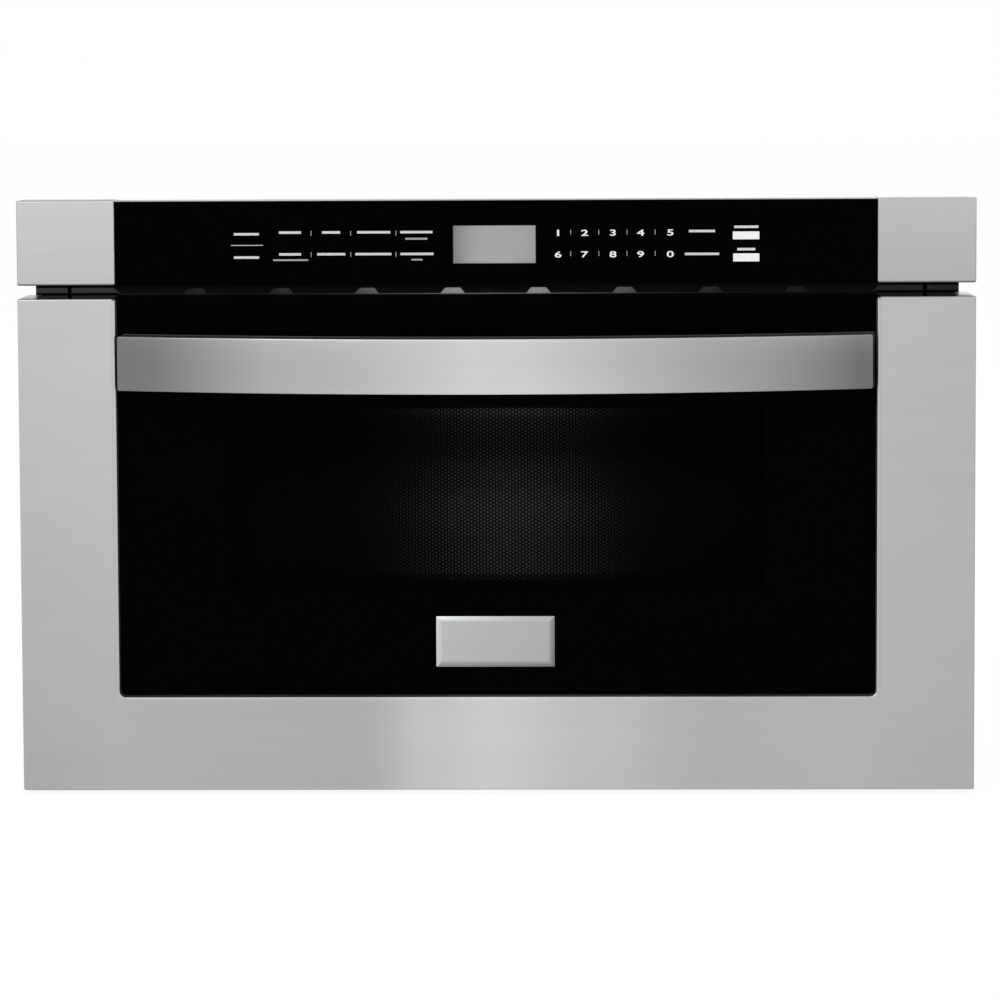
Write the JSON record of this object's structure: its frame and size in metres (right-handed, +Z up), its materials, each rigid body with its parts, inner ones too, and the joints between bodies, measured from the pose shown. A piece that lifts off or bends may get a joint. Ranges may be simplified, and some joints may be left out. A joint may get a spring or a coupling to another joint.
{
  "type": "microwave drawer",
  "caption": "Built-in microwave drawer: stainless frame, black glass with a window, bowed handle and touch panel; the drawer slides out on rails with its basket.",
  "frame": {"origin": "on the cabinet shelf under the middle of the whole unit, base pan's underside", "axes": "+Z up, +X to the right seen from the front, +Y to the back; the drawer opens along -Y"},
  "size_m": [0.6064, 0.624, 0.38],
  "materials": {
    "stainless": "satin, brushed along the width",
    "black_glass": "gloss black",
    "handle_dark": "satin dark grey",
    "black_plastic": "fine matte",
    "gasket": "matte",
    "zinc_steel": "zinc-plated sheet",
    "cavity_enamel": "semi-gloss light enamel",
    "screen_dark": "perforated, dark",
    "tray_ceramic": "smooth",
    "mica": "satin",
    "display": "lit pale grey",
    "board": "solder mask",
    "copper": "lacquered winding",
    "core_iron": "varnished laminations",
    "aluminium": "mill finish",
    "badge_metal": "satin, bare",
    "gear_steel": "machined",
    "white_plastic": "fine matte",
    "screw_metal": "bright zinc"
  },
  "bodies": {
    "chassis": {"base_pan": "zinc_steel", "wrapper_cover": "zinc_steel", "rear_panel": "zinc_steel", "front_flange": "zinc_steel", "case_screws": "screw_metal", "cord_gland": "black_plastic", "cavity_shell": "cavity_enamel", "stirrer_well": "aluminium", "stirrer_cover": "mica", "stirrer_motor": "aluminium", "waveguide": "zinc_steel", "magnetron_yoke": "zinc_steel", "magnetron_core": "aluminium", "transformer_core": "core_iron", "transformer_coil": "copper", "hv_capacitor": "aluminium", "fan_shroud": "black_plastic", "fan_motor": "core_iron", "exhaust_duct": "zinc_steel", "cavity_lamp": "white_plastic", "thermal_cutout": "white_plastic", "relay_board": "board", "switch_block_left": "black_plastic", "switch_block_right": "black_plastic", "control_fascia": "stainless", "control_glass": "black_glass", "control_housing": "black_plastic", "display_module": "display", "control_board": "board", "vent_skirt": "black_plastic", "slide_brackets": "zinc_steel", "slide_outer_left": "zinc_steel", "slide_outer_right": "zinc_steel", "drive_motor": "core_iron", "drive_bracket": "zinc_steel"},
    "drawer": {"drawer_frame": "stainless", "door_glass": "black_glass", "glass_gasket": "gasket", "back_panel": "screen_dark", "window_screen": "screen_dark", "choke_ring": "black_plastic", "badge_plate": "badge_metal", "handle_strip": "stainless", "handle_core": "handle_dark", "handle_posts": "black_plastic", "drawer_basket": "cavity_enamel", "ceramic_tray": "tray_ceramic", "drawer_carriage": "zinc_steel", "latch_hooks": "white_plastic", "slide_inner_left": "zinc_steel", "slide_inner_right": "zinc_steel", "drive_rack": "gear_steel"},
    "slide_mid_left": {"slide_mid_left": "zinc_steel"},
    "slide_mid_right": {"slide_mid_right": "zinc_steel"},
    "drive_pinion": {"drive_pinion": "gear_steel"},
    "fan_rotor": {"fan_rotor": "white_plastic"},
    "stirrer": {"stirrer_blade": "aluminium"},
    "switch_plunger_left": {"switch_plunger_left": "white_plastic"},
    "switch_plunger_right": {"switch_plunger_right": "white_plastic"}
  },
  "joints": [
    {"name": "drawer_slide", "type": "slide", "parent": "chassis", "child": "drawer", "axis": [0, -1, 0], "range_m": [0, 0.381]},
    {"name": "mid_left_slide", "type": "slide", "parent": "chassis", "child": "slide_mid_left", "axis": [0, -1, 0], "range_m": [0, 0.1905]},
    {"name": "mid_right_slide", "type": "slide", "parent": "chassis", "child": "slide_mid_right", "axis": [0, -1, 0], "range_m": [0, 0.1905]},
    {"name": "pinion_turn", "type": "hinge", "parent": "chassis", "child": "drive_pinion", "pos_m": [0.218, -0.222, 0.0705], "axis": [0, 0, -1], "range_deg": [0, 1560]},
    {"name": "fan_spin", "type": "hinge", "parent": "chassis", "child": "fan_rotor", "pos_m": [0.116, 0.253, 0.17], "axis": [1, 0, 0], "continuous": true},
    {"name": "stirrer_spin", "type": "hinge", "parent": "chassis", "child": "stirrer", "pos_m": [0, -0.0305, 0.085], "axis": [0, 0, 1], "continuous": true},
    {"name": "switch_left_press", "type": "slide", "parent": "chassis", "child": "switch_plunger_left", "axis": [0, 1, 0], "range_m": [0, 0.0025], "stiffness_N_per_m": 300},
    {"name": "switch_right_press", "type": "slide", "parent": "chassis", "child": "switch_plunger_right", "axis": [0, 1, 0], "range_m": [0, 0.0025], "stiffness_N_per_m": 300}
  ],
  "couplings": [
    {"joint": "mid_left_slide", "follows": "drawer_slide", "ratio": 0.5},
    {"joint": "mid_right_slide", "follows": "drawer_slide", "ratio": 0.5},
    {"joint": "pinion_turn", "follows": "drawer_slide", "rad_per_m": 71.429}
  ]
}
